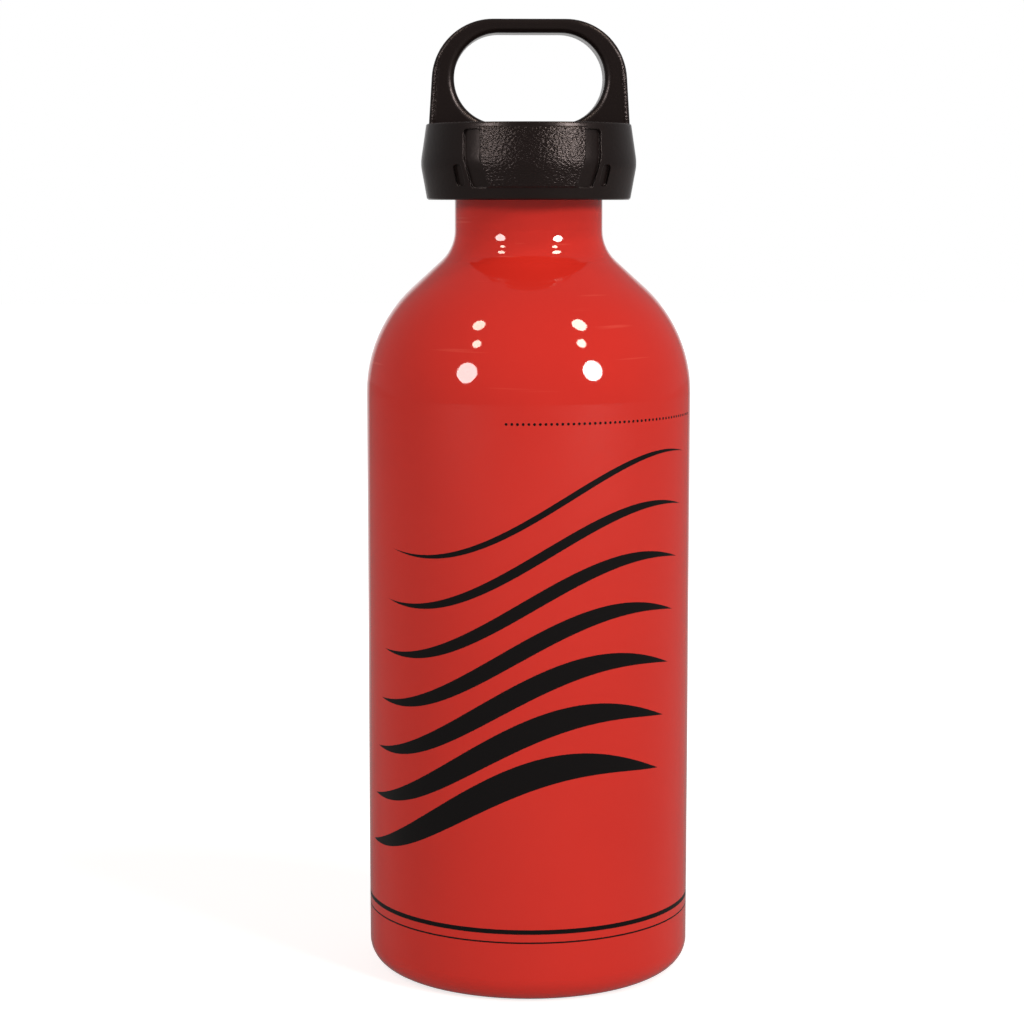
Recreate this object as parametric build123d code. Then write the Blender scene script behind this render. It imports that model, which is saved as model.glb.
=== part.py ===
from build123d import *

import math
import os

# Every length is in millimetres and every angle in degrees.
# The origin is the centre of the bottle's foot, and +Z is the bottle's axis, upwards.

# Bottle shell, one seamless aluminium extrusion
body_radius = 32.0
body_wall = 0.85
base_wall = 1.2
base_corner_radius = 4.8
base_land_radius = 22.0
base_dome_height = 3.0
base_crease_radius = 1.2
shoulder_start_height = 115.05
shoulder_radius = 28.0
shoulder_angle = 47.7
throat_radius = 8.1
neck_radius = 14.5
neck_wall = 2.25
neck_blend_radius = 4.0
neck_length = 11.3
rim_rounding = 0.5
mouth_chamfer = 0.6

# Screw thread shared by the neck and the plug
thread_pitch = 3.0
thread_depth = 1.1
thread_radial_clearance = 0.25
thread_axial_clearance = 0.2
ridge_root_width = 2.0
ridge_tip_width = 0.9
thread_turns = 3.5
thread_start = 1.2
groove_lead_turns = 0.4
thread_bite = 0.3

# Threaded plug
rim_gap = 0.3
flange_thickness = 2.6
flange_overhang = 3.0
flange_rounding = 0.4
stem_length = 14.4
stem_wall = 2.3
stem_chamfer = 0.5
web_depth = 6.9
web_thickness = 2.0
rib_thickness = 1.4
rib_recess = 1.5
rib_count = 2
vent_width = 3.0
vent_length = 11.5
vent_bite = 0.6
vent_count = 2

# Neck seal
seal_section_radius = 1.0
seal_clearance = 0.05

# Push-and-turn clutch between the plug and the cap
tooth_count = 12
tooth_height = 1.3
tooth_root_width = 3.2
tooth_tip_width = 2.2
tooth_length = 3.8
tooth_edge_margin = 1.2
tooth_clearance = 0.15
push_travel = 2.8

# Return spring and its washer
wire_radius = 0.7
spring_radius = 7.3
spring_turns = 5.0
spring_seat_gap = 0.05
washer_thickness = 0.7
washer_margin = 0.3
washer_gap = 0.1
boss_radius = 4.0
boss_clearance = 0.4
boss_height = 1.6

# Retaining ring
ring_thickness = 1.2
ring_width = 3.6
ring_flange_gap = 0.1
ring_groove_depth = 0.95
ring_groove_gap = 0.05
ring_split = 8.0

# Outer cap, its skirt
skirt_height = 14.65
skirt_clearance = 0.4
skirt_wall = 2.05
waist_bulge = 1.2
waist_height = 7.0
waist_rounding = 8.0
plate_thickness = 2.05
plate_overhang = 0.05
plate_rounding = 0.4
skirt_chamfer = 0.3
mouth_lead = 0.4

# Outer cap, the raised panel on its front and back
panel_thickness = 0.25
panel_half_angle = 31.0
panel_foot_height = 2.4
panel_top_margin = 0.9

# Outer cap, the finger grooves beside each panel, flat-floored and bent at the waist
groove_depth = 0.6
groove_rounding = 0.8
long_groove_width = 3.9
long_groove_top_angle = 34.6
long_groove_top_margin = 1.3
long_groove_bend_angle = 33.2
long_groove_bend_height = 8.1
long_groove_foot_angle = 29.2
long_groove_foot_height = 2.3
short_groove_width = 2.2
short_groove_top_angle = 43.0
short_groove_top_height = 6.7
short_groove_foot_angle = 41.4
short_groove_foot_height = 2.6

# Outer cap, the carrying loop
loop_height = 20.0
loop_depth = 9.0
loop_top_half_width = 18.2
loop_corner_radius = 11.9
loop_bar_thickness = 2.7
loop_hole_width = 29.2
loop_outer_rounding = 0.9
loop_hole_rounding = 1.4

# Every cutting solid runs this far past the face that it opens.
overrun = 0.5

full_turn = 360.0
half_turn = full_turn / 2
quarter_turn = full_turn / 4

# Places that follow from the sizes above
shoulder_slope = math.radians(shoulder_angle)
slope_tangent = math.tan(shoulder_slope)
half_slope_tangent = math.tan(shoulder_slope / 2)
shoulder_corner_height = shoulder_start_height + shoulder_radius * half_slope_tangent
throat_corner_height = shoulder_corner_height + (body_radius - neck_radius) / slope_tangent
rim_height = throat_corner_height + throat_radius * half_slope_tangent + neck_length
neck_root_radius = neck_radius - neck_wall
neck_bore_radius = neck_root_radius - thread_depth
stem_radius = neck_bore_radius - thread_radial_clearance
ridge_radius = neck_root_radius - thread_radial_clearance
stem_bore_radius = stem_radius - stem_wall

# Heights of the closure, all measured from the neck's rim, to which its finished parts are lifted
flange_bottom = rim_gap
flange_top = flange_bottom + flange_thickness
flange_radius = neck_radius + flange_overhang
stem_bottom = flange_bottom - stem_length
web_bottom = flange_bottom - web_depth - web_thickness
web_top = flange_bottom - web_depth
tooth_outer_radius = flange_radius - tooth_edge_margin
tooth_inner_radius = tooth_outer_radius - tooth_length

cap_tooth_tip = flange_top + push_travel + tooth_clearance
ceiling_height = cap_tooth_tip + tooth_height
plate_top = ceiling_height + plate_thickness
skirt_bottom = plate_top - skirt_height
skirt_bore_radius = flange_radius + skirt_clearance
skirt_foot_radius = skirt_bore_radius + skirt_wall
skirt_waist_radius = skirt_foot_radius + waist_bulge
plate_radius = skirt_foot_radius + plate_overhang
skirt_waist_height = skirt_bottom + waist_height

seal_radius = (neck_root_radius + neck_radius) / 2
seal_height = seal_clearance + seal_section_radius

washer_top = ceiling_height - washer_gap
washer_bottom = washer_top - washer_thickness
washer_radius = stem_bore_radius - washer_margin

ring_top = flange_bottom - ring_flange_gap
ring_bottom = ring_top - ring_thickness
ring_radius = skirt_bore_radius + ring_groove_depth - ring_groove_gap

loop_top = plate_top + loop_height
loop_foot_half_width = math.sqrt(plate_radius**2 - (loop_depth / 2 - loop_outer_rounding) ** 2)


def turned(*corners):
    """A solid of revolution about the bottle's axis, from (radius, height, rounding) corners."""
    points = [(radius, height) for radius, height, rounding in corners]
    roundings = [rounding for radius, height, rounding in corners]
    outline = FilletPolyline(*points, radius=roundings, close=True)
    return revolve(Plane.XZ * make_face(outline), Axis.Z)


def tube(outer_radius, inner_radius, bottom, top):
    """A plain ring of rectangular section."""
    return turned(
        (inner_radius, bottom, 0),
        (outer_radius, bottom, 0),
        (outer_radius, top, 0),
        (inner_radius, top, 0),
    )


def upright(radius, bottom, top):
    """A plain disc or rod on the bottle's axis."""
    return Pos(0, 0, bottom) * Cylinder(radius, top - bottom, align=(Align.CENTER, Align.CENTER, Align.MIN))


def lifted_to_rim(shape):
    """A shape whose heights are measured from the neck's rim, put in its place on the bottle."""
    return Pos(0, 0, rim_height) * shape


def helical_ridge(inner_radius, outer_radius, inner_width, outer_width, start_height, turns):
    """A right-hand thread of trapezoid section that starts over the +X axis."""
    pitch_radius = (inner_radius + outer_radius) / 2
    path = Helix(thread_pitch, thread_pitch * turns, pitch_radius, center=(0, 0, start_height))
    section = Polyline(
        (inner_radius, start_height - inner_width / 2),
        (outer_radius, start_height - outer_width / 2),
        (outer_radius, start_height + outer_width / 2),
        (inner_radius, start_height + inner_width / 2),
        close=True,
    )
    return sweep(Plane.XZ * make_face(section), path=path, is_frenet=True)


def bottle_outside():
    return turned(
        (0, 0, 0),
        (body_radius, 0, base_corner_radius),
        (body_radius, shoulder_corner_height, shoulder_radius),
        (neck_radius, throat_corner_height, throat_radius),
        (neck_radius, rim_height, rim_rounding),
        (0, rim_height, 0),
    )


def bottle_inside():
    inner_radius = body_radius - body_wall
    inner_shoulder_radius = shoulder_radius - body_wall
    shoulder_corner = shoulder_start_height + inner_shoulder_radius * half_slope_tangent
    neck_corner = shoulder_corner + (inner_radius - neck_bore_radius) / slope_tangent
    return turned(
        (0, base_wall, 0),
        (inner_radius, base_wall, base_corner_radius - body_wall),
        (inner_radius, shoulder_corner, inner_shoulder_radius),
        (neck_bore_radius, neck_corner, neck_blend_radius),
        (neck_bore_radius, rim_height + overrun, 0),
        (0, rim_height + overrun, 0),
    )


def neck_thread_groove():
    """The neck's female thread, on the plug's helix but started lower and run out of the mouth."""
    start_height = stem_bottom + thread_start - thread_pitch * groove_lead_turns
    turns = (ridge_root_width - start_height) / thread_pitch
    flank = (ridge_root_width - ridge_tip_width) / thread_depth
    bore_width = ridge_root_width - flank * thread_radial_clearance + 2 * thread_axial_clearance
    inner_width = bore_width + flank * thread_bite
    outer_width = bore_width - flank * thread_depth
    inner_radius = neck_bore_radius - thread_bite
    groove = helical_ridge(inner_radius, neck_root_radius, inner_width, outer_width, start_height, turns)
    return Rot(0, 0, -full_turn * groove_lead_turns) * groove


def mouth_cone():
    """The lead-in that opens the neck's thread at the rim."""
    wide_radius = neck_root_radius + mouth_chamfer + overrun
    narrow_radius = neck_bore_radius - overrun
    top = overrun
    bottom = top - wide_radius + narrow_radius
    return turned((0, bottom, 0), (narrow_radius, bottom, 0), (wide_radius, top, 0), (0, top, 0))


def bottle_shell():
    dome_radius = (base_land_radius**2 + base_dome_height**2) / (2 * base_dome_height)
    dome_centre = Pos(0, 0, base_dome_height - dome_radius)
    outside = bottle_outside() - dome_centre * Sphere(dome_radius)
    crease = outside.edges().filter_by(GeomType.CIRCLE).group_by(Axis.Z)[0].sort_by(SortBy.RADIUS)[0]
    outside = fillet(crease, base_crease_radius)
    inside = bottle_inside() - dome_centre * Sphere(dome_radius + base_wall)
    return outside - inside - lifted_to_rim(neck_thread_groove()) - lifted_to_rim(mouth_cone())


def clutch_tooth():
    """One clutch tooth that stands on the plane z = 0 and is sunk a little below it."""
    sunk_half_width = tooth_root_width / 2
    section = Polyline(
        (-sunk_half_width, -overrun),
        (sunk_half_width, -overrun),
        (sunk_half_width, 0),
        (tooth_tip_width / 2, tooth_height),
        (-tooth_tip_width / 2, tooth_height),
        (-sunk_half_width, 0),
        close=True,
    )
    return extrude(Plane.YZ.offset(tooth_inner_radius) * make_face(section), tooth_length)


def clutch_teeth():
    tooth = clutch_tooth()
    return [Rot(0, 0, full_turn * index / tooth_count) * tooth for index in range(tooth_count)]


def plug_stem():
    """The plug's threaded stem, with its lower end turned down to a lead-in."""
    core = upright(stem_radius, stem_bottom, flange_bottom + overrun)
    ridge = helical_ridge(
        stem_radius - thread_bite,
        ridge_radius,
        ridge_root_width + thread_bite,
        ridge_tip_width,
        stem_bottom + thread_start,
        thread_turns,
    )
    lead_width = ridge_radius + overrun - stem_radius + stem_chamfer
    envelope = turned(
        (0, stem_bottom, 0),
        (stem_radius - stem_chamfer, stem_bottom, 0),
        (ridge_radius + overrun, stem_bottom + lead_width, 0),
        (ridge_radius + overrun, flange_bottom + overrun, 0),
        (0, flange_bottom + overrun, 0),
    )
    return (core + ridge) & envelope


def stem_ribs():
    """Crossed stiffening ribs in the hollow under the plug's web."""
    bottom = stem_bottom + rib_recess
    height = web_bottom + overrun - bottom
    length = 2 * stem_bore_radius + overrun
    on_its_foot = (Align.CENTER, Align.CENTER, Align.MIN)
    rib = Pos(0, 0, bottom) * Box(length, rib_thickness, height, align=on_its_foot)
    return [Rot(0, 0, half_turn * index / rib_count) * rib for index in range(rib_count)]


def vent_slots():
    """Slots across the plug's thread that let pressure out before the plug is free."""
    depth = ridge_radius + overrun - stem_radius + vent_bite
    place = Pos(stem_radius - vent_bite, 0, stem_bottom - overrun)
    slot = place * Box(depth, vent_width, vent_length + overrun, align=(Align.MIN, Align.CENTER, Align.MIN))
    turn = Rot(0, 0, quarter_turn)
    return [turn * Rot(0, 0, full_turn * index / vent_count) * slot for index in range(vent_count)]


def threaded_plug():
    flange = turned(
        (0, flange_bottom, 0),
        (flange_radius, flange_bottom, flange_rounding),
        (flange_radius, flange_top, flange_rounding),
        (0, flange_top, 0),
    )
    lower_hollow = upright(stem_bore_radius, stem_bottom - overrun, web_bottom)
    spring_pocket = upright(stem_bore_radius, web_top, flange_top + overrun)
    seal_reach = seal_section_radius + seal_clearance
    seal_groove = tube(
        seal_radius + seal_reach,
        seal_radius - seal_reach,
        flange_bottom - overrun,
        seal_height + seal_reach,
    )
    plug = plug_stem() + flange - lower_hollow - spring_pocket
    plug = plug + stem_ribs()
    plug = plug - vent_slots() - seal_groove
    return plug + [Pos(0, 0, flange_top) * tooth for tooth in clutch_teeth()]


def neck_o_ring():
    return Pos(0, 0, seal_height) * Torus(seal_radius, seal_section_radius)


def clutch_spring():
    """The return spring: one wire wound at a steady pitch, from the web to the washer."""
    start_height = web_top + spring_seat_gap + wire_radius
    end_height = washer_bottom - spring_seat_gap - wire_radius
    rise = end_height - start_height
    path = Helix(rise / spring_turns, rise, spring_radius, center=(0, 0, start_height))
    section = Plane(origin=path @ 0, z_dir=path % 0) * Circle(wire_radius)
    return sweep(section, path=path, is_frenet=True)


def spring_least_gap():
    """The least clear distance from the spring's wire to a neighbouring turn of itself."""
    rise = washer_bottom - web_top - 2 * (spring_seat_gap + wire_radius)
    path = Helix(rise / spring_turns, rise, spring_radius)
    steps_per_turn = 48
    count = int(spring_turns * steps_per_turn)
    points = [path @ (index / count) for index in range(count + 1)]
    half_turn_steps = steps_per_turn // 2
    least = min(
        (points[far] - points[near]).length
        for near in range(count)
        for far in range(near + half_turn_steps, count + 1)
    )
    return least - 2 * wire_radius


def thrust_washer():
    return tube(washer_radius, boss_radius + boss_clearance, washer_bottom, washer_top)


def retaining_ring():
    """A split ring that snaps into the skirt's groove and holds the cap on the plug's flange."""
    ring = tube(ring_radius, ring_radius - ring_width, ring_bottom, ring_top)
    reach = ring_radius + overrun
    gap = Pos(0, 0, ring_bottom - overrun) * Box(
        reach, ring_split, ring_thickness + 2 * overrun, align=(Align.MIN, Align.CENTER, Align.MIN)
    )
    return ring - gap


def skirt_surface_radius(height):
    """The skirt's outer radius at a height, on its two straight slopes."""
    if height > skirt_waist_height:
        share = (height - skirt_waist_height) / (plate_top - skirt_waist_height)
        return skirt_waist_radius + share * (plate_radius - skirt_waist_radius)
    share = (height - skirt_bottom) / waist_height
    return skirt_foot_radius + share * (skirt_waist_radius - skirt_foot_radius)


def cap_body():
    outside = turned(
        (0, skirt_bottom, 0),
        (skirt_foot_radius - skirt_chamfer, skirt_bottom, 0),
        (skirt_foot_radius, skirt_bottom + skirt_chamfer, 0),
        (skirt_waist_radius, skirt_waist_height, waist_rounding),
        (plate_radius, plate_top, plate_rounding),
        (0, plate_top, 0),
    )
    inside = turned(
        (0, skirt_bottom - overrun, 0),
        (skirt_bore_radius + mouth_lead + overrun, skirt_bottom - overrun, 0),
        (skirt_bore_radius, skirt_bottom + mouth_lead, 0),
        (skirt_bore_radius, ceiling_height, 0),
        (0, ceiling_height, 0),
    )
    return outside, inside


def grip_panel(face_angle):
    """The raised panel on one face of the skirt, which follows the skirt's slopes."""
    foot = skirt_bottom + panel_foot_height
    top = plate_top - panel_top_margin
    root_radius = skirt_bore_radius + skirt_wall / 2
    outline = FilletPolyline(
        (root_radius, foot),
        (skirt_surface_radius(foot) + panel_thickness, foot),
        (skirt_waist_radius + panel_thickness, skirt_waist_height),
        (skirt_surface_radius(top) + panel_thickness, top),
        (root_radius, top),
        radius=[0, 0, waist_rounding, 0, 0],
        close=True,
    )
    start = Rot(0, 0, face_angle - panel_half_angle)
    return revolve(start * (Plane.XZ * make_face(outline)), Axis.Z, revolution_arc=2 * panel_half_angle)


def groove_floor():
    """The skirt shrunk by the grooves' depth, on which every groove's floor lies."""
    return turned(
        (0, skirt_bottom - overrun, 0),
        (skirt_foot_radius - groove_depth, skirt_bottom - overrun, 0),
        (skirt_foot_radius - groove_depth, skirt_bottom, 0),
        (skirt_waist_radius - groove_depth, skirt_waist_height, waist_rounding),
        (plate_radius - groove_depth, plate_top, 0),
        (plate_radius - groove_depth, plate_top + overrun, 0),
        (0, plate_top + overrun, 0),
    )


def groove_prism(stops, width):
    """A prism of this width along (angle, height) stops, driven in towards the bottle's axis."""
    middle = sum(angle for angle, height in stops) / len(stops)
    line = [(skirt_waist_radius * math.sin(math.radians(middle - angle)), height) for angle, height in stops]
    near_side = [(across - width / 2, height) for across, height in line]
    far_side = [(across + width / 2, height) for across, height in reversed(line)]
    outline = FilletPolyline(*near_side, *far_side, radius=groove_rounding, close=True)
    reach = skirt_waist_radius + panel_thickness + overrun
    prism = extrude(Plane.XZ.offset(-reach) * make_face(outline), reach - skirt_bore_radius)
    return Rot(0, 0, middle - quarter_turn) * prism


def finger_grooves(face_angle):
    """The two grooves on each side of one face's panel."""
    prisms = []
    for side in (-1, 1):
        long_stops = [
            (face_angle + side * long_groove_top_angle, plate_top - long_groove_top_margin),
            (face_angle + side * long_groove_bend_angle, skirt_bottom + long_groove_bend_height),
            (face_angle + side * long_groove_foot_angle, skirt_bottom + long_groove_foot_height),
        ]
        short_stops = [
            (face_angle + side * short_groove_top_angle, skirt_bottom + short_groove_top_height),
            (face_angle + side * short_groove_foot_angle, skirt_bottom + short_groove_foot_height),
        ]
        prisms.append(groove_prism(long_stops, long_groove_width))
        prisms.append(groove_prism(short_stops, short_groove_width))
    floor = groove_floor()
    return [prism - floor for prism in prisms]


def carrying_loop():
    """The flat loop across the cap's top, rounded outside and inside."""
    foot = ceiling_height - loop_outer_rounding
    outline = FilletPolyline(
        (-loop_foot_half_width, foot),
        (-loop_top_half_width, loop_top),
        (loop_top_half_width, loop_top),
        (loop_foot_half_width, foot),
        radius=[0, loop_corner_radius, loop_corner_radius, 0],
        close=True,
    )
    slab = extrude(Plane.XZ * make_face(outline), loop_depth / 2, both=True)
    rims = slab.faces().filter_by(Axis.Y).edges()
    slab = fillet(rims, loop_outer_rounding)
    hole_height = loop_height - loop_bar_thickness
    hole_centre = Pos(0, 0, plate_top + hole_height / 2)
    hole_outline = Plane.XZ * SlotOverall(loop_hole_width, hole_height)
    hole = extrude(hole_centre * hole_outline, loop_depth / 2 + overrun, both=True)
    slab = slab - hole
    hole_rims = [wire for face in slab.faces().filter_by(Axis.Y) for wire in face.inner_wires()]
    hole_edges = [edge for wire in hole_rims for edge in wire.edges()]
    return fillet(hole_edges, loop_hole_rounding)


def outer_cap():
    outside, inside = cap_body()
    cap = outside
    for face_angle in (-quarter_turn, quarter_turn):
        cap = cap + grip_panel(face_angle)
    for face_angle in (-quarter_turn, quarter_turn):
        cap = cap - finger_grooves(face_angle)
    cap = cap + carrying_loop()
    ring_groove = tube(
        skirt_bore_radius + ring_groove_depth,
        skirt_bore_radius - overrun,
        ring_bottom - ring_groove_gap,
        ring_top + ring_groove_gap,
    )
    cap = cap - inside - ring_groove
    cap = cap + upright(boss_radius, ceiling_height - boss_height, ceiling_height + overrun)
    half_tooth = Rot(0, 0, full_turn / tooth_count / 2)
    hang = Pos(0, 0, ceiling_height) * half_tooth * Rot(half_turn, 0, 0)
    return cap + [hang * tooth for tooth in clutch_teeth()]


closure_parts = {
    "threaded_plug": threaded_plug,
    "neck_o_ring": neck_o_ring,
    "clutch_spring": clutch_spring,
    "thrust_washer": thrust_washer,
    "retaining_ring": retaining_ring,
    "outer_cap": outer_cap,
}

os.makedirs("parts", exist_ok=True)
export_step(bottle_shell(), "parts/bottle_shell.step")
for name, make in closure_parts.items():
    export_step(lifted_to_rim(make()), f"parts/{name}.step")
print("spring's least gap to itself:", round(spring_least_gap(), 3))
print("plate top:", round(rim_height + plate_top, 3), "loop top:", round(rim_height + loop_top, 3))
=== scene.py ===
import math

import bpy
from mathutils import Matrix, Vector


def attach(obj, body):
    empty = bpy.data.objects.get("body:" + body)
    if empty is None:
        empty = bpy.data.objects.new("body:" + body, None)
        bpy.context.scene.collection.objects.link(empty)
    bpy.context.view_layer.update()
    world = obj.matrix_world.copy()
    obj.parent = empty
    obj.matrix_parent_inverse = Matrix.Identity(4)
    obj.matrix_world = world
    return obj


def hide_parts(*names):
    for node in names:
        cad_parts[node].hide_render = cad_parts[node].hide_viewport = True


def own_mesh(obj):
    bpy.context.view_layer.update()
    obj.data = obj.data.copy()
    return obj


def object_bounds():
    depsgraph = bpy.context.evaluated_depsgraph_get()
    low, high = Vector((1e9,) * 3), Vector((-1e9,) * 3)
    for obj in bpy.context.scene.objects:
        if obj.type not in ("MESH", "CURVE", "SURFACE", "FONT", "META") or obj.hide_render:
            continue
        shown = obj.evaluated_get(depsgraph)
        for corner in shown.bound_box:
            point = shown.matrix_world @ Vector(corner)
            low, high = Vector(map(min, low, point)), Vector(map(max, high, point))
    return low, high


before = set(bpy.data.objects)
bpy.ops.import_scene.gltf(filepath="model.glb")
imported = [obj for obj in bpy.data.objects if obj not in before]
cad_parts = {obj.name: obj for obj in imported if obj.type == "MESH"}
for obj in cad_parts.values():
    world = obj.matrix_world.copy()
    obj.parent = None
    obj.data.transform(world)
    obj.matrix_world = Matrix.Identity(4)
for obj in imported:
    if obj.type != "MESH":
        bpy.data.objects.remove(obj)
cad_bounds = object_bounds()

# Lengths are in metres unless a name says millimetres, angles are in degrees, and colours are
# linear red, green and blue. Print and grain are placed in millimetres on the object's own axes.
degree = math.radians(1.0)
per_metre = 1000.0
quarter_turn = 90.0
half_turn = 180.0
full_turn = 360.0
white = (1.0, 1.0, 1.0)

# Camera, level with the cap's skirt and aimed a little down, as the photograph shows the bottle
image_width_px = 1024.0
image_centre_px = image_width_px / 2
focal_length_px = 2468.0
body_centre_px = 528.5
sensor_width_mm = 36.0
camera_distance = 0.4879
camera_height = 0.1538
camera_tilt = 7.33
cap_turn_to_camera = 2.4

# Lamps, as (azimuth from the camera, elevation, width, radiance, tint), seen as spots on the enamel
lamp_distance = 1.6
neutral_tint = (1.0, 0.97, 0.94)
warm_tint = (1.0, 0.90, 0.76)
lamps = (
    (-45.0, 16.6, 15.0, 18.0, neutral_tint),
    (-45.0, 38.6, 6.0, 22.0, warm_tint),
    (-54.5, 52.5, 8.0, 20.0, warm_tint),
    (47.0, 18.0, 15.0, 34.0, neutral_tint),
    (46.0, 39.0, 6.5, 28.0, warm_tint),
    (56.0, 52.5, 9.5, 26.0, warm_tint),
)

# Light from the studio's walls: their radiance to matt surfaces, and as gloss mirrors them
wall_front = 0.10
wall_back = 1.45
wall_side_difference = 0.16
wall_top_drop = 1.0
mirrored_wall = 0.24
mirrored_back_start = 0.90
mirrored_back_end = 0.98

# The floor, pale grey in its light and white to the camera
floor_half_width = 3.0
floor_albedo = 0.60
floor_mirrored_albedo = 0.22
floor_mirrored_glow = 0.12
floor_near_glow = 0.72
floor_far_glow = 1.0
floor_fade_start = 0.12
floor_fade_end = 0.40

# Print on the bottle's side: heights, widths and thicknesses in millimetres
body_radius = (cad_bounds[1].x - cad_bounds[0].x) / 2 * per_metre
millimetres_per_degree = body_radius * degree
print_edge = 0.05
fill_line_height = 111.5
fill_line_start = -10.8
fill_dot_pitch = 1.06
fill_dot_radius = 0.27
fill_dot_count = 45
foot_rules = ((14.4, 0.45), (12.3, 0.16))
wave_count = 7
wave_top = 95.5
wave_step = 9.2
wave_height = 5.5
wave_length = 150.0
wave_phase_step = 14.0
wave_centre = 5.2
wave_half_width = 62.0
wave_shift = 3.0
wave_slope = 0.10
wave_thin = 0.7
wave_grow = 0.38
scale_bottom = 24.0
scale_top = 104.0
scale_tick_pitch = 4.0
scale_ticks_per_long = 5
scale_tick_half_length = 2.6
scale_long_half_length = 5.2
scale_line_half_width = 0.22

# Where the shell's enamel stops, in millimetres
bare_rim_radius = 14.0
bare_rim_height = 143.0
inside_floor_height = 60.0

# Raised panels of the cap, in millimetres and degrees from the front and back
panel_bottom = 155.3
panel_top = 166.45
panel_top_angle = 29.3
panel_foot_angle = 23.0
panel_bend = 157.5
panel_bend_softness = 6.0
arm_grain_bottom = 168.0
arm_grain_start = 18.3
arm_lean = 0.073

enamel_red = (0.585, 0.0245, 0.0150)
enamel_red_deep = (0.535, 0.0205, 0.0130)
ink_black = (0.0030, 0.0022, 0.0024)
ink_dulling = 0.55
scuff_pink = (0.72, 0.10, 0.07)
bare_aluminium = (0.80, 0.80, 0.79)
cap_black = (0.0032, 0.0013, 0.0010)
cap_black_light = (0.0054, 0.0026, 0.0022)
plug_black = (0.010, 0.0088, 0.0082)
rubber_black = (0.016, 0.016, 0.016)
wire_steel = (0.62, 0.61, 0.59)
ring_steel = (0.56, 0.55, 0.54)
washer_ivory = (0.74, 0.72, 0.66)

# In the materials, noise scales are for places in millimetres, and the depths of bumps and the
# radii of rounded edges are in metres. A pair of roughnesses runs from the grain's lows to its highs.
half = 0.5

# Red enamel: slow clouds of colour, faint scratches on the shoulder, ink, and its own clear coat
red_cloud_scale = 0.045
streak_per_degree = 0.022
streak_per_height = 1.1
streak_per_radius = 0.3
streak_edge = 0.74
streak_softness = 0.08
streak_strength = 0.30
streak_bottom = 118.0
streak_fade = 8.0
enamel_roughness = 0.45
ink_roughness = 0.6
peel_scale = 0.55
peel_share = 0.5
ink_share = 0.2
enamel_bump = 0.30
enamel_bump_depth = 0.00001
coat_roughness = 0.04
coat_ior = 1.5

# Bare metal inside the shell, with the lathe's rings
lathe_scale = 5.0
lathe_roughness = 0.7
lathe_share = 0.4
lathe_grey = (0.55, 0.55, 0.54)
metal_roughness = 0.34

# Cap: pebbled grain on panels and arms, a satin skin elsewhere, and rounded edges
panel_side_softness = 0.6
panel_end_softness = 0.3
arm_softness = 0.5
grain_stretch = 1.5
pebble_scale = 1.9
fine_scale = 3.4
fine_roughness = 0.6
fine_share = 0.5
satin_scale = 1.1
satin_share = 0.22
cap_edge_radius = 0.00026
cap_bump = 0.85
cap_bump_depth = 0.00013
cap_cloud_scale = 0.2
satin_roughness = 0.30
grained_roughness = (0.20, 0.31)
cap_specular = 0.37
cap_specular_tint = (1.0, 0.84, 0.82)
cap_sheen = 0.06
cap_sheen_roughness = 0.45
cap_sheen_tint = (1.0, 0.86, 0.90)

# Plug
plug_grain_scale = 2.5
plug_bump = 0.25
plug_bump_depth = 0.00004
plug_edge_radius = 0.00012
plug_cloud_scale = 0.3
plug_roughness = (0.26, 0.40)

# Seal
dust_scale = 2.0
dust_roughness = 0.65
dusty_rubber = (0.030, 0.030, 0.029)
rubber_bump = 0.3
rubber_bump_depth = 0.00003
rubber_roughness = (0.50, 0.66)

# Spring and ring
wire_steel_dark = (0.40, 0.39, 0.38)
wire_line_scale = 4.0
ring_steel_dark = (0.36, 0.35, 0.34)
ring_line_scale = 6.0
line_per_degree = 0.02
line_roughness = 0.7
steel_bump = 0.2
steel_bump_depth = 0.00002
steel_roughness = (0.20, 0.36)

# Washer
washer_cloud_scale = 0.8
washer_ivory_dark = (0.66, 0.64, 0.58)
washer_bump = 0.15
washer_bump_depth = 0.00003
washer_roughness = (0.34, 0.46)
washer_subsurface = 0.1
washer_subsurface_reach = 0.001


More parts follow.
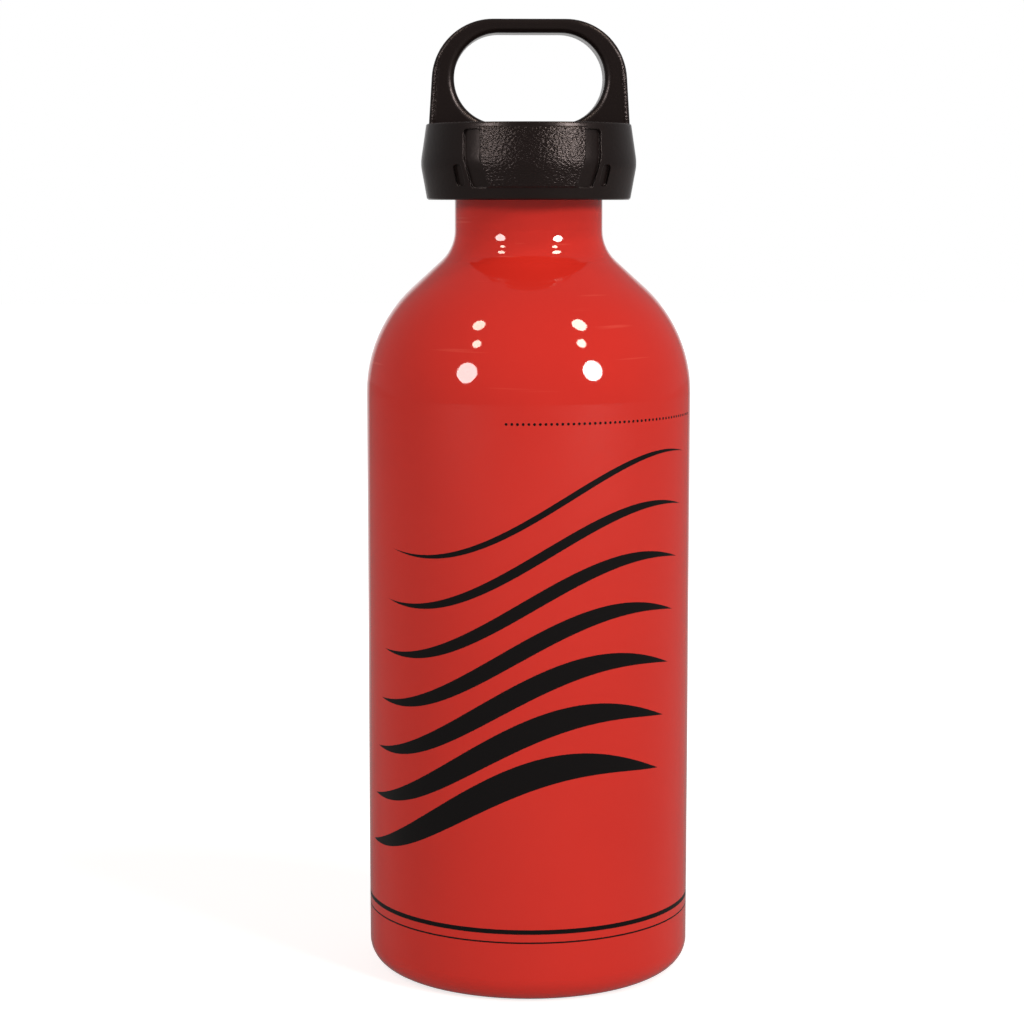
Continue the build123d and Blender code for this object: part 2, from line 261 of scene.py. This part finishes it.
class Nodes:
    """Short calls for making and joining the nodes of one node tree."""

    def __init__(self, owner):
        owner.use_nodes = True
        self.tree = owner.node_tree
        self.tree.nodes.clear()

    def add(self, kind, **settings):
        node = self.tree.nodes.new(kind)
        for name, value in settings.items():
            setattr(node, name, value)
        return node

    def feed(self, socket, value):
        """Sets a socket to a constant, or joins it to another node's output."""
        if isinstance(value, bpy.types.NodeSocket):
            self.tree.links.new(value, socket)
        elif isinstance(value, tuple) and len(socket.default_value) > len(value):
            socket.default_value = (*value, 1.0)
        else:
            socket.default_value = value

    def math(self, operation, *values, clamp=False):
        node = self.add("ShaderNodeMath", operation=operation, use_clamp=clamp)
        for socket, value in zip(node.inputs, values):
            self.feed(socket, value)
        return node.outputs[0]

    def add_up(self, first, *others):
        for other in others:
            first = self.math("ADD", first, other)
        return first

    def times(self, first, *others):
        for other in others:
            first = self.math("MULTIPLY", first, other)
        return first

    def highest(self, first, *others):
        for other in others:
            first = self.math("MAXIMUM", first, other)
        return first

    def step(self, value, edge, softness):
        """0 where the value is below the edge and 1 above it, with a soft step this wide."""
        rise = self.math("SUBTRACT", value, edge)
        return self.math("MULTIPLY_ADD", rise, 1.0 / softness, half, clamp=True)

    def inside(self, value, centre, half_width, softness):
        """1 where the value is within the half width of the centre, and 0 elsewhere."""
        away = self.math("ABSOLUTE", self.math("SUBTRACT", value, centre))
        return self.step(self.math("SUBTRACT", half_width, away), 0.0, softness)

    def mix_colour(self, share, first, second):
        node = self.add("ShaderNodeMix", data_type="RGBA")
        self.feed(node.inputs["Factor"], share)
        self.feed(node.inputs[6], first)
        self.feed(node.inputs[7], second)
        return node.outputs[2]

    def mix_value(self, share, first, second):
        node = self.add("ShaderNodeMix", data_type="FLOAT")
        self.feed(node.inputs["Factor"], share)
        self.feed(node.inputs[2], first)
        self.feed(node.inputs[3], second)
        return node.outputs[0]

    def combine(self, x, y, z):
        node = self.add("ShaderNodeCombineXYZ")
        for socket, value in zip(node.inputs, (x, y, z)):
            self.feed(socket, value)
        return node.outputs[0]

    def noise(self, place, scale, detail=2.0, roughness=0.5):
        node = self.add("ShaderNodeTexNoise")
        self.feed(node.inputs["Vector"], place)
        self.feed(node.inputs["Scale"], scale)
        self.feed(node.inputs["Detail"], detail)
        self.feed(node.inputs["Roughness"], roughness)
        return node.outputs[0]

    def cells(self, place, scale):
        node = self.add("ShaderNodeTexVoronoi", feature="SMOOTH_F1")
        self.feed(node.inputs["Vector"], place)
        self.feed(node.inputs["Scale"], scale)
        return node.outputs["Distance"]

    def bump(self, height, strength, distance, normal=None):
        node = self.add("ShaderNodeBump")
        self.feed(node.inputs["Height"], height)
        self.feed(node.inputs["Strength"], strength)
        self.feed(node.inputs["Distance"], distance)
        if normal is not None:
            self.feed(node.inputs["Normal"], normal)
        return node.outputs[0]

    def round_edges(self, radius):
        node = self.add("ShaderNodeBevel", samples=6)
        self.feed(node.inputs["Radius"], radius)
        return node.outputs[0]

    def finish(self, **inputs):
        """Ends the tree in one Principled shader with these inputs, named with underscores."""
        shader = self.add("ShaderNodeBsdfPrincipled")
        for name, value in inputs.items():
            self.feed(shader.inputs[name.replace("_", " ")], value)
        output = self.add("ShaderNodeOutputMaterial")
        self.feed(output.inputs["Surface"], shader.outputs[0])


class Place:
    """A point of the object in millimetres, with its angle from the front and its radius."""

    def __init__(self, nodes):
        coordinates = nodes.add("ShaderNodeTexCoord")
        scaled = nodes.add("ShaderNodeVectorMath", operation="SCALE")
        nodes.feed(scaled.inputs[0], coordinates.outputs["Object"])
        nodes.feed(scaled.inputs["Scale"], per_metre)
        self.point = scaled.outputs[0]
        self.x, self.y, self.z = self.split(nodes, self.point)
        self.normal = self.split(nodes, coordinates.outputs["Normal"])
        forward = nodes.math("MULTIPLY", self.y, -1.0)
        turn = nodes.math("ARCTAN2", self.x, forward)
        self.angle = nodes.math("MULTIPLY", turn, 1.0 / degree)
        across = nodes.math("MULTIPLY", self.x, self.x)
        squares = nodes.math("MULTIPLY_ADD", self.y, self.y, across)
        self.radius = nodes.math("SQRT", squares)

    def split(self, nodes, vector):
        parts = nodes.add("ShaderNodeSeparateXYZ")
        nodes.feed(parts.inputs[0], vector)
        return parts.outputs[0], parts.outputs[1], parts.outputs[2]


def look_at(obj, target):
    direction = Vector(target) - obj.location
    obj.rotation_euler = direction.to_track_quat("-Z", "Y").to_euler()


def from_camera(azimuth, elevation, distance):
    """A point this far from the cap, at angles counted from where the camera stands."""
    turn = (azimuth - cap_turn_to_camera) * degree
    level = distance * math.cos(elevation * degree)
    height = camera_height + distance * math.sin(elevation * degree)
    return Vector((level * math.sin(turn), -level * math.cos(turn), height))


def make_camera():
    data = bpy.data.cameras.new("photo_camera")
    data.sensor_width = sensor_width_mm
    data.lens = focal_length_px / image_width_px * sensor_width_mm
    camera = bpy.data.objects.new("photo_camera", data)
    bpy.context.scene.collection.objects.link(camera)
    pan = math.atan((body_centre_px - image_centre_px) / focal_length_px)
    camera.location = from_camera(0.0, 0.0, camera_distance)
    tip = (quarter_turn - camera_tilt) * degree
    camera.rotation_euler = (tip, 0.0, pan - cap_turn_to_camera * degree)
    bpy.context.scene.camera = camera


def make_lamps():
    for azimuth, elevation, width, radiance, tint in lamps:
        data = bpy.data.lights.new("studio_lamp", "AREA")
        data.color = tint
        data.shape = "DISK"
        data.size = 2 * lamp_distance * math.tan(width / 2 * degree)
        area = math.pi * (data.size / 2) ** 2
        data.energy = radiance * math.pi * area
        lamp = bpy.data.objects.new("studio_lamp", data)
        lamp.location = from_camera(azimuth, elevation, lamp_distance)
        lamp.visible_camera = False
        look_at(lamp, (0.0, 0.0, camera_height))
        bpy.context.scene.collection.objects.link(lamp)


def back_lobe(nodes, toward_back):
    """1 straight behind the object and 0 away from there, for a share of the way to the back."""
    reach = mirrored_back_end - mirrored_back_start
    offset = -mirrored_back_start / reach
    return nodes.math("MULTIPLY_ADD", toward_back, 1.0 / reach, offset, clamp=True)


def make_world():
    """White to the camera. Matt surfaces see soft walls, and gloss sees dim ones and a white back."""
    world = bpy.data.worlds.new("studio")
    bpy.context.scene.world = world
    nodes = Nodes(world)
    place = nodes.add("ShaderNodeTexCoord")
    split = nodes.add("ShaderNodeSeparateXYZ")
    nodes.feed(split.inputs[0], place.outputs["Generated"])
    back_share = nodes.math("MULTIPLY_ADD", split.outputs["Y"], half, half, clamp=True)
    depth = nodes.math("MULTIPLY_ADD", back_share, wall_back - wall_front, wall_front)
    sides = nodes.math("MULTIPLY_ADD", split.outputs["X"], wall_side_difference / 2, depth)
    overhead = nodes.highest(split.outputs["Z"], 0.0)
    soft_walls = nodes.times(sides, nodes.math("MULTIPLY_ADD", overhead, -wall_top_drop, 1.0))
    lobe = back_lobe(nodes, split.outputs["Y"])
    dim_walls = nodes.math("MULTIPLY_ADD", lobe, 1.0 - mirrored_wall, mirrored_wall)
    rays = nodes.add("ShaderNodeLightPath")
    walls = nodes.add("ShaderNodeBackground")
    nodes.feed(walls.inputs["Color"], white)
    strength = nodes.mix_value(rays.outputs["Is Glossy Ray"], soft_walls, dim_walls)
    nodes.feed(walls.inputs["Strength"], strength)
    seen = nodes.add("ShaderNodeBackground")
    nodes.feed(seen.inputs["Color"], white)
    mix = nodes.add("ShaderNodeMixShader")
    nodes.feed(mix.inputs[0], rays.outputs["Is Camera Ray"])
    nodes.feed(mix.inputs[1], walls.outputs[0])
    nodes.feed(mix.inputs[2], seen.outputs[0])
    output = nodes.add("ShaderNodeOutputWorld")
    nodes.feed(output.inputs["Surface"], mix.outputs[0])


def floor_material():
    """A pale grey floor that the camera sees as white, with the object's shadow kept."""
    material = bpy.data.materials.new("floor_white")
    nodes = Nodes(material)
    place = Place(nodes)
    away = nodes.math("MULTIPLY", place.radius, 1.0 / per_metre)
    reach = floor_fade_end - floor_fade_start
    far_share = nodes.math("MULTIPLY_ADD", away, 1.0 / reach, -floor_fade_start / reach, clamp=True)
    seen_glow = nodes.mix_value(far_share, floor_near_glow, floor_far_glow)
    lobe = back_lobe(nodes, nodes.math("DIVIDE", place.y, place.radius))
    far_lobe = nodes.times(lobe, far_share)
    mirrored_glow = nodes.math("MULTIPLY_ADD", far_lobe, 1.0 - mirrored_wall, floor_mirrored_glow)
    rays = nodes.add("ShaderNodeLightPath")
    to_camera = nodes.times(rays.outputs["Is Camera Ray"], seen_glow)
    to_gloss = nodes.times(rays.outputs["Is Glossy Ray"], mirrored_glow)
    glow = nodes.add("ShaderNodeEmission")
    nodes.feed(glow.inputs["Color"], white)
    nodes.feed(glow.inputs["Strength"], nodes.add_up(to_camera, to_gloss))
    grey = [(albedo, albedo, albedo) for albedo in (floor_albedo, floor_mirrored_albedo)]
    diffuse = nodes.add("ShaderNodeBsdfDiffuse")
    nodes.feed(diffuse.inputs["Color"], nodes.mix_colour(rays.outputs["Is Glossy Ray"], *grey))
    both = nodes.add("ShaderNodeAddShader")
    nodes.feed(both.inputs[0], diffuse.outputs[0])
    nodes.feed(both.inputs[1], glow.outputs[0])
    output = nodes.add("ShaderNodeOutputMaterial")
    nodes.feed(output.inputs["Surface"], both.outputs[0])
    return material


def make_floor():
    near, far = -floor_half_width, floor_half_width
    corners = [(near, near, 0.0), (far, near, 0.0), (far, far, 0.0), (near, far, 0.0)]
    mesh = bpy.data.meshes.new("floor")
    mesh.from_pydata(corners, [], [(0, 1, 2, 3)])
    mesh.materials.append(floor_material())
    floor = bpy.data.objects.new("floor", mesh)
    bpy.context.scene.collection.objects.link(floor)


def fill_line(nodes, place):
    """The row of small dots at the highest fill."""
    start = fill_line_start * millimetres_per_degree
    along = nodes.math("MULTIPLY_ADD", place.angle, millimetres_per_degree, -start)
    count = nodes.math("MULTIPLY", along, 1.0 / fill_dot_pitch)
    in_dot = nodes.math("SUBTRACT", nodes.math("FRACT", count), half)
    across = nodes.math("MULTIPLY", in_dot, fill_dot_pitch)
    up = nodes.math("SUBTRACT", place.z, fill_line_height)
    squares = nodes.math("MULTIPLY_ADD", across, across, nodes.math("MULTIPLY", up, up))
    away = nodes.math("SQRT", squares)
    dots = nodes.step(nodes.math("SUBTRACT", fill_dot_radius, away), 0.0, print_edge)
    row = nodes.inside(count, fill_dot_count / 2, fill_dot_count / 2, print_edge)
    return nodes.times(dots, row)


def wave_bands(nodes, place):
    """Plain waves across the front, thin at the top and wider towards the foot."""
    bands = []
    turn = nodes.math("SUBTRACT", place.angle, wave_centre)
    for index in range(wave_count):
        phase = wave_phase_step * index * degree
        swing_angle = nodes.math("MULTIPLY_ADD", turn, full_turn / wave_length * degree, phase)
        swing = nodes.math("SINE", swing_angle)
        rise = nodes.math("MULTIPLY_ADD", turn, wave_slope, wave_top - wave_step * index)
        line = nodes.math("MULTIPLY_ADD", swing, wave_height, rise)
        shift = wave_shift * index / wave_half_width
        share = nodes.math("MULTIPLY_ADD", turn, 1.0 / wave_half_width, shift)
        taper = nodes.math("SUBTRACT", 1.0, nodes.math("MULTIPLY", share, share))
        half_thickness = nodes.math("MULTIPLY", taper, wave_thin + wave_grow * index)
        away = nodes.math("ABSOLUTE", nodes.math("SUBTRACT", place.z, line))
        bands.append(nodes.step(nodes.math("SUBTRACT", half_thickness, away), 0.0, print_edge))
    return nodes.highest(*bands)


def foot_rings(nodes, place):
    """A thick and a thin line round the bottle above its foot."""
    rings = [nodes.inside(place.z, height, half_width, print_edge) for height, half_width in foot_rules]
    return nodes.highest(*rings)


def back_scale(nodes, place):
    """A plain upright scale of ticks in the middle of the back."""
    turn = nodes.math("SUBTRACT", half_turn, nodes.math("ABSOLUTE", place.angle))
    across = nodes.math("MULTIPLY", turn, millimetres_per_degree)

    def ticks(pitch, half_length):
        count = nodes.math("MULTIPLY_ADD", place.z, 1.0 / pitch, half - scale_bottom / pitch)
        from_tick = nodes.math("SUBTRACT", nodes.math("FRACT", count), half)
        up = nodes.math("MULTIPLY", from_tick, pitch)
        lines = nodes.inside(up, 0.0, scale_line_half_width, print_edge)
        return nodes.times(lines, nodes.inside(across, 0.0, half_length, print_edge))

    short = ticks(scale_tick_pitch, scale_tick_half_length)
    long = ticks(scale_tick_pitch * scale_ticks_per_long, scale_long_half_length)
    upright = nodes.inside(across, 0.0, scale_line_half_width, print_edge)
    middle = (scale_bottom + scale_top) / 2
    reach = (scale_top - scale_bottom) / 2 + scale_line_half_width
    lines = nodes.highest(short, long, upright)
    return nodes.times(lines, nodes.inside(place.z, middle, reach, print_edge))


def bare_metal(nodes, place):
    """1 on the shell's inside, its thread and its rim, and 0 on the enamel."""
    normal_x, normal_y, normal_z = place.normal
    outward_x = nodes.math("MULTIPLY", normal_x, place.x)
    outward = nodes.math("MULTIPLY_ADD", normal_y, place.y, outward_x)
    near_floor = nodes.math("LESS_THAN", place.z, inside_floor_height)
    upward = nodes.times(near_floor, normal_z, body_radius)
    inward = nodes.math("GREATER_THAN", nodes.math("SUBTRACT", upward, outward), 0.0)
    at_rim = nodes.math("GREATER_THAN", place.z, bare_rim_height)
    in_rim = nodes.math("LESS_THAN", place.radius, bare_rim_radius)
    return nodes.highest(inward, nodes.times(at_rim, in_rim))


def enamel():
    """Glossy baked enamel with black print outside, and turned aluminium inside."""
    material = bpy.data.materials.new("red_enamel")
    nodes = Nodes(material)
    place = Place(nodes)
    printed = nodes.highest(
        fill_line(nodes, place),
        wave_bands(nodes, place),
        foot_rings(nodes, place),
        back_scale(nodes, place),
    )
    bare = bare_metal(nodes, place)
    cloud = nodes.noise(place.point, red_cloud_scale, detail=3.0)
    red = nodes.mix_colour(cloud, enamel_red_deep, enamel_red)
    streak_place = nodes.combine(
        nodes.math("MULTIPLY", place.angle, streak_per_degree),
        nodes.math("MULTIPLY", place.z, streak_per_height),
        nodes.math("MULTIPLY", place.radius, streak_per_radius),
    )
    streak_noise = nodes.noise(streak_place, 1.0, detail=1.0)
    streaks = nodes.step(streak_noise, streak_edge, streak_softness)
    on_shoulder = nodes.step(place.z, streak_bottom, streak_fade)
    streak_share = nodes.times(streaks, on_shoulder, streak_strength)
    scuffed = nodes.mix_colour(streak_share, red, scuff_pink)
    outside = nodes.mix_colour(printed, scuffed, ink_black)
    lathe_place = nodes.combine(0.0, 0.0, place.z)
    lathe = nodes.noise(lathe_place, lathe_scale, detail=4.0, roughness=lathe_roughness)
    metal = nodes.mix_colour(nodes.times(lathe, lathe_share), bare_aluminium, lathe_grey)
    colour = nodes.mix_colour(bare, outside, metal)
    outside_roughness = nodes.mix_value(printed, enamel_roughness, ink_roughness)
    roughness = nodes.mix_value(bare, outside_roughness, metal_roughness)
    peel = nodes.noise(place.point, peel_scale)
    peel_height = nodes.math("MULTIPLY", peel, peel_share)
    ink_height = nodes.math("MULTIPLY", printed, ink_share)
    surface = nodes.bump(nodes.add_up(peel_height, ink_height), enamel_bump, enamel_bump_depth)
    uncoated = nodes.highest(bare, nodes.times(printed, ink_dulling))
    nodes.finish(
        Base_Color=colour,
        Metallic=bare,
        Roughness=roughness,
        Specular_IOR_Level=0.0,
        Coat_Weight=nodes.math("SUBTRACT", 1.0, uncoated),
        Coat_Roughness=coat_roughness,
        Coat_IOR=coat_ior,
        Normal=surface,
        Coat_Normal=surface,
    )
    return material


def cap_plastic():
    """Near-black moulded plastic, pebbled on the raised panels and the loop's outer sides."""
    material = bpy.data.materials.new("cap_plastic")
    nodes = Nodes(material)
    place = Place(nodes)
    turn = nodes.math("ABSOLUTE", place.angle)
    from_side = nodes.math("ABSOLUTE", nodes.math("SUBTRACT", turn, quarter_turn))
    from_face = nodes.math("SUBTRACT", quarter_turn, from_side)
    bent = nodes.step(place.z, panel_bend, panel_bend_softness)
    panel_edge = nodes.mix_value(bent, panel_foot_angle, panel_top_angle)
    inside_edge = nodes.math("SUBTRACT", panel_edge, from_face)
    near_face = nodes.step(inside_edge, 0.0, panel_side_softness)
    panel_middle = (panel_bottom + panel_top) / 2
    panel_reach = (panel_top - panel_bottom) / 2
    at_height = nodes.inside(place.z, panel_middle, panel_reach, panel_end_softness)
    on_panel = nodes.times(near_face, at_height)
    arm_foot = arm_grain_start + arm_lean * arm_grain_bottom
    arm_edge = nodes.math("MULTIPLY_ADD", place.z, -arm_lean, arm_foot)
    beside_hole = nodes.math("SUBTRACT", nodes.math("ABSOLUTE", place.x), arm_edge)
    outer_side = nodes.step(beside_hole, 0.0, arm_softness)
    above_plate = nodes.step(place.z, arm_grain_bottom, arm_softness)
    on_arm = nodes.times(outer_side, above_plate)
    grained = nodes.highest(on_panel, on_arm)
    stretched = nodes.math("MULTIPLY", place.z, grain_stretch)
    grain_place = nodes.combine(place.x, place.y, stretched)
    pebble = nodes.cells(grain_place, pebble_scale)
    fine = nodes.noise(grain_place, fine_scale, detail=3.0, roughness=fine_roughness)
    soft = nodes.noise(place.point, satin_scale)
    satin = nodes.times(soft, satin_share)
    pebbled = nodes.add_up(pebble, nodes.times(fine, fine_share))
    grain = nodes.mix_value(grained, satin, pebbled)
    edges = nodes.round_edges(cap_edge_radius)
    surface = nodes.bump(grain, cap_bump, cap_bump_depth, edges)
    cloud = nodes.noise(place.point, cap_cloud_scale, detail=3.0)
    pebbled_roughness = nodes.mix_value(fine, *grained_roughness)
    nodes.finish(
        Base_Color=nodes.mix_colour(cloud, cap_black, cap_black_light),
        Roughness=nodes.mix_value(grained, satin_roughness, pebbled_roughness),
        Specular_IOR_Level=cap_specular,
        Specular_Tint=cap_specular_tint,
        Sheen_Weight=cap_sheen,
        Sheen_Roughness=cap_sheen_roughness,
        Sheen_Tint=cap_sheen_tint,
        Normal=surface,
    )
    return material


def plug_plastic():
    """Black moulded plastic with a fine skin and rounded edges."""
    material = bpy.data.materials.new("plug_plastic")
    nodes = Nodes(material)
    place = Place(nodes)
    fine = nodes.noise(place.point, plug_grain_scale, detail=3.0)
    edges = nodes.round_edges(plug_edge_radius)
    surface = nodes.bump(fine, plug_bump, plug_bump_depth, edges)
    cloud = nodes.noise(place.point, plug_cloud_scale)
    nodes.finish(
        Base_Color=nodes.mix_colour(cloud, plug_black, cap_black_light),
        Roughness=nodes.mix_value(fine, *plug_roughness),
        Normal=surface,
    )
    return material


def seal_rubber():
    """Black rubber with a little dust in its skin."""
    material = bpy.data.materials.new("seal_rubber")
    nodes = Nodes(material)
    place = Place(nodes)
    dust = nodes.noise(place.point, dust_scale, detail=4.0, roughness=dust_roughness)
    surface = nodes.bump(dust, rubber_bump, rubber_bump_depth)
    nodes.finish(
        Base_Color=nodes.mix_colour(dust, rubber_black, dusty_rubber),
        Roughness=nodes.mix_value(dust, *rubber_roughness),
        Normal=surface,
    )
    return material


def drawn_steel(name, colour, darker, line_scale):
    """Bright steel with fine lines that run round the bottle's axis."""
    material = bpy.data.materials.new(name)
    nodes = Nodes(material)
    place = Place(nodes)
    around = nodes.math("MULTIPLY", place.angle, line_per_degree)
    line_place = nodes.combine(place.radius, around, place.z)
    lines = nodes.noise(line_place, line_scale, detail=4.0, roughness=line_roughness)
    surface = nodes.bump(lines, steel_bump, steel_bump_depth)
    nodes.finish(
        Base_Color=nodes.mix_colour(lines, darker, colour),
        Metallic=1.0,
        Roughness=nodes.mix_value(lines, *steel_roughness),
        Normal=surface,
    )
    return material


def washer_plastic():
    """Natural ivory plastic that lets a little light in."""
    material = bpy.data.materials.new("washer_plastic")
    nodes = Nodes(material)
    place = Place(nodes)
    cloud = nodes.noise(place.point, washer_cloud_scale, detail=3.0)
    surface = nodes.bump(cloud, washer_bump, washer_bump_depth)
    nodes.finish(
        Base_Color=nodes.mix_colour(cloud, washer_ivory, washer_ivory_dark),
        Roughness=nodes.mix_value(cloud, *washer_roughness),
        Subsurface_Weight=washer_subsurface,
        Subsurface_Scale=washer_subsurface_reach,
        Normal=surface,
    )
    return material


def squeezed_spring():
    """The clutch spring as a piece of its own, carried by the plug."""
    spring = bpy.data.objects.new("clutch_spring_coil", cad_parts["clutch_spring"].data.copy())
    bpy.context.scene.collection.objects.link(spring)
    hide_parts("clutch_spring")
    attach(spring, "plug")
    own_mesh(spring)


def dress_nodes():
    finishes = {
        "bottle_shell": enamel(),
        "threaded_plug": plug_plastic(),
        "neck_o_ring": seal_rubber(),
        "clutch_spring": drawn_steel("spring_steel", wire_steel, wire_steel_dark, wire_line_scale),
        "thrust_washer": washer_plastic(),
        "retaining_ring": drawn_steel("ring_steel", ring_steel, ring_steel_dark, ring_line_scale),
        "outer_cap": cap_plastic(),
    }
    for name, material in finishes.items():
        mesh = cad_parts[name].data
        mesh.materials.clear()
        mesh.materials.append(material)


make_camera()
make_lamps()
make_world()
make_floor()
dress_nodes()
squeezed_spring()
bpy.context.scene.view_settings.view_transform = "Standard"
